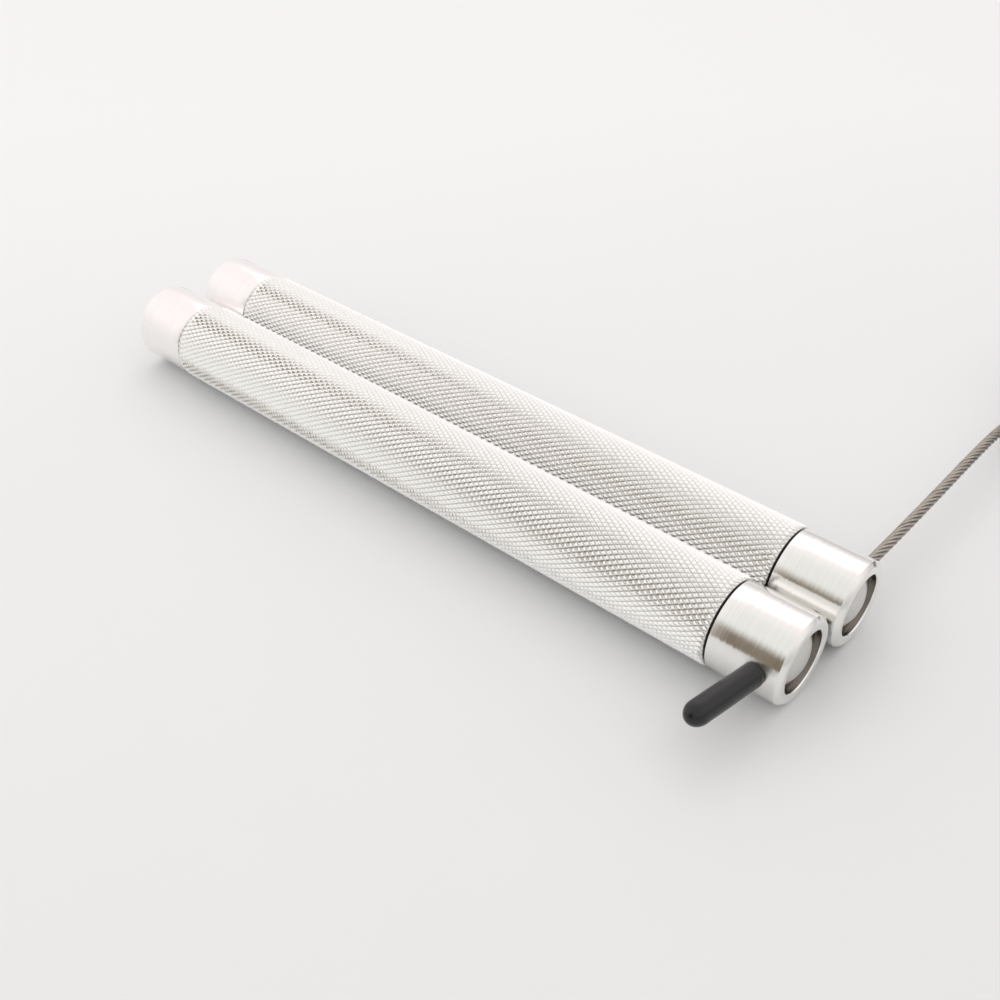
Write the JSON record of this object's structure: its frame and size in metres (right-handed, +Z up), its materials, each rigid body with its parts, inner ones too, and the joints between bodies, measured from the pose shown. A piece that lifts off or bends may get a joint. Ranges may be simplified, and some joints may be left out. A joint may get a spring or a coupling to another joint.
{
  "type": "jump rope",
  "caption": "Speed jump rope: knurled aluminium handles that spin on bearings, turned heads with push-button cable locks, and a thin steel cable, coiled.",
  "frame": {"origin": "on the surface that the handles lie on, under the middle of the pair of handles", "axes": "+X from the rear caps to the heads, +Y from the near handle to the far handle, +Z up"},
  "size_m": [0.2015, 0.1596, 0.016],
  "materials": {
    "turned_aluminium": "satin, fine turning lines",
    "button_aluminium": "fine bead-blasted satin",
    "knurled_aluminium": "bright diamond knurl",
    "polished_aluminium": "fine polished",
    "bearing_steel": "ground",
    "spring_steel": "drawn wire",
    "steel_cable": "stranded, slightly dull",
    "black_rubber": "matt",
    "black_vinyl": "soft, dipped vinyl",
    "woven_strap": "woven hook-and-loop"
  },
  "bodies": {
    "heads_and_cable": {"near_head_shell": "turned_aluminium", "near_head_seal": "black_rubber", "near_button_spring": "spring_steel", "near_spindle_bolt": "bearing_steel", "near_bearing_spacer": "bearing_steel", "near_bolt_washer": "bearing_steel", "near_lock_nut": "bearing_steel", "near_front_bearing_inner_race": "bearing_steel", "near_rear_bearing_inner_race": "bearing_steel", "far_head_shell": "turned_aluminium", "far_head_seal": "black_rubber", "far_button_spring": "spring_steel", "far_spindle_bolt": "bearing_steel", "far_bearing_spacer": "bearing_steel", "far_bolt_washer": "bearing_steel", "far_lock_nut": "bearing_steel", "far_front_bearing_inner_race": "bearing_steel", "far_rear_bearing_inner_race": "bearing_steel", "cable_through_heads": "steel_cable", "cable_run": "steel_cable", "cable_coil": "steel_cable", "near_tail_cap": "black_vinyl", "coil_end_cap": "black_vinyl", "coil_tie_left": "woven_strap", "coil_tie_right": "woven_strap"},
    "near_grip": {"near_grip_tube": "knurled_aluminium", "near_rear_cap": "polished_aluminium", "near_rear_cap_ring": "black_rubber", "near_front_bearing_balls": "bearing_steel", "near_front_bearing_outer_race": "bearing_steel", "near_rear_bearing_balls": "bearing_steel", "near_rear_bearing_outer_race": "bearing_steel"},
    "near_button": {"near_lock_button": "button_aluminium"},
    "far_grip": {"far_grip_tube": "knurled_aluminium", "far_rear_cap": "polished_aluminium", "far_rear_cap_ring": "black_rubber", "far_front_bearing_balls": "bearing_steel", "far_front_bearing_outer_race": "bearing_steel", "far_rear_bearing_balls": "bearing_steel", "far_rear_bearing_outer_race": "bearing_steel"},
    "far_button": {"far_lock_button": "button_aluminium"}
  },
  "joints": [
    {"name": "near_grip_spin", "type": "hinge", "parent": "heads_and_cable", "child": "near_grip", "pos_m": [0, -0.00865, 0.008], "axis": [1, 0, 0], "continuous": true},
    {"name": "near_button_press", "type": "slide", "parent": "heads_and_cable", "child": "near_button", "axis": [-1, 0, 0], "range_m": [0, 0.0008], "stiffness_N_per_m": 1500, "springref_m": -0.002, "deforming": ["near_button_spring"]},
    {"name": "far_grip_spin", "type": "hinge", "parent": "heads_and_cable", "child": "far_grip", "pos_m": [0, 0.00865, 0.008], "axis": [1, 0, 0], "continuous": true},
    {"name": "far_button_press", "type": "slide", "parent": "heads_and_cable", "child": "far_button", "axis": [-1, 0, 0], "range_m": [0, 0.0008], "stiffness_N_per_m": 1500, "springref_m": -0.002, "deforming": ["far_button_spring"]}
  ]
}
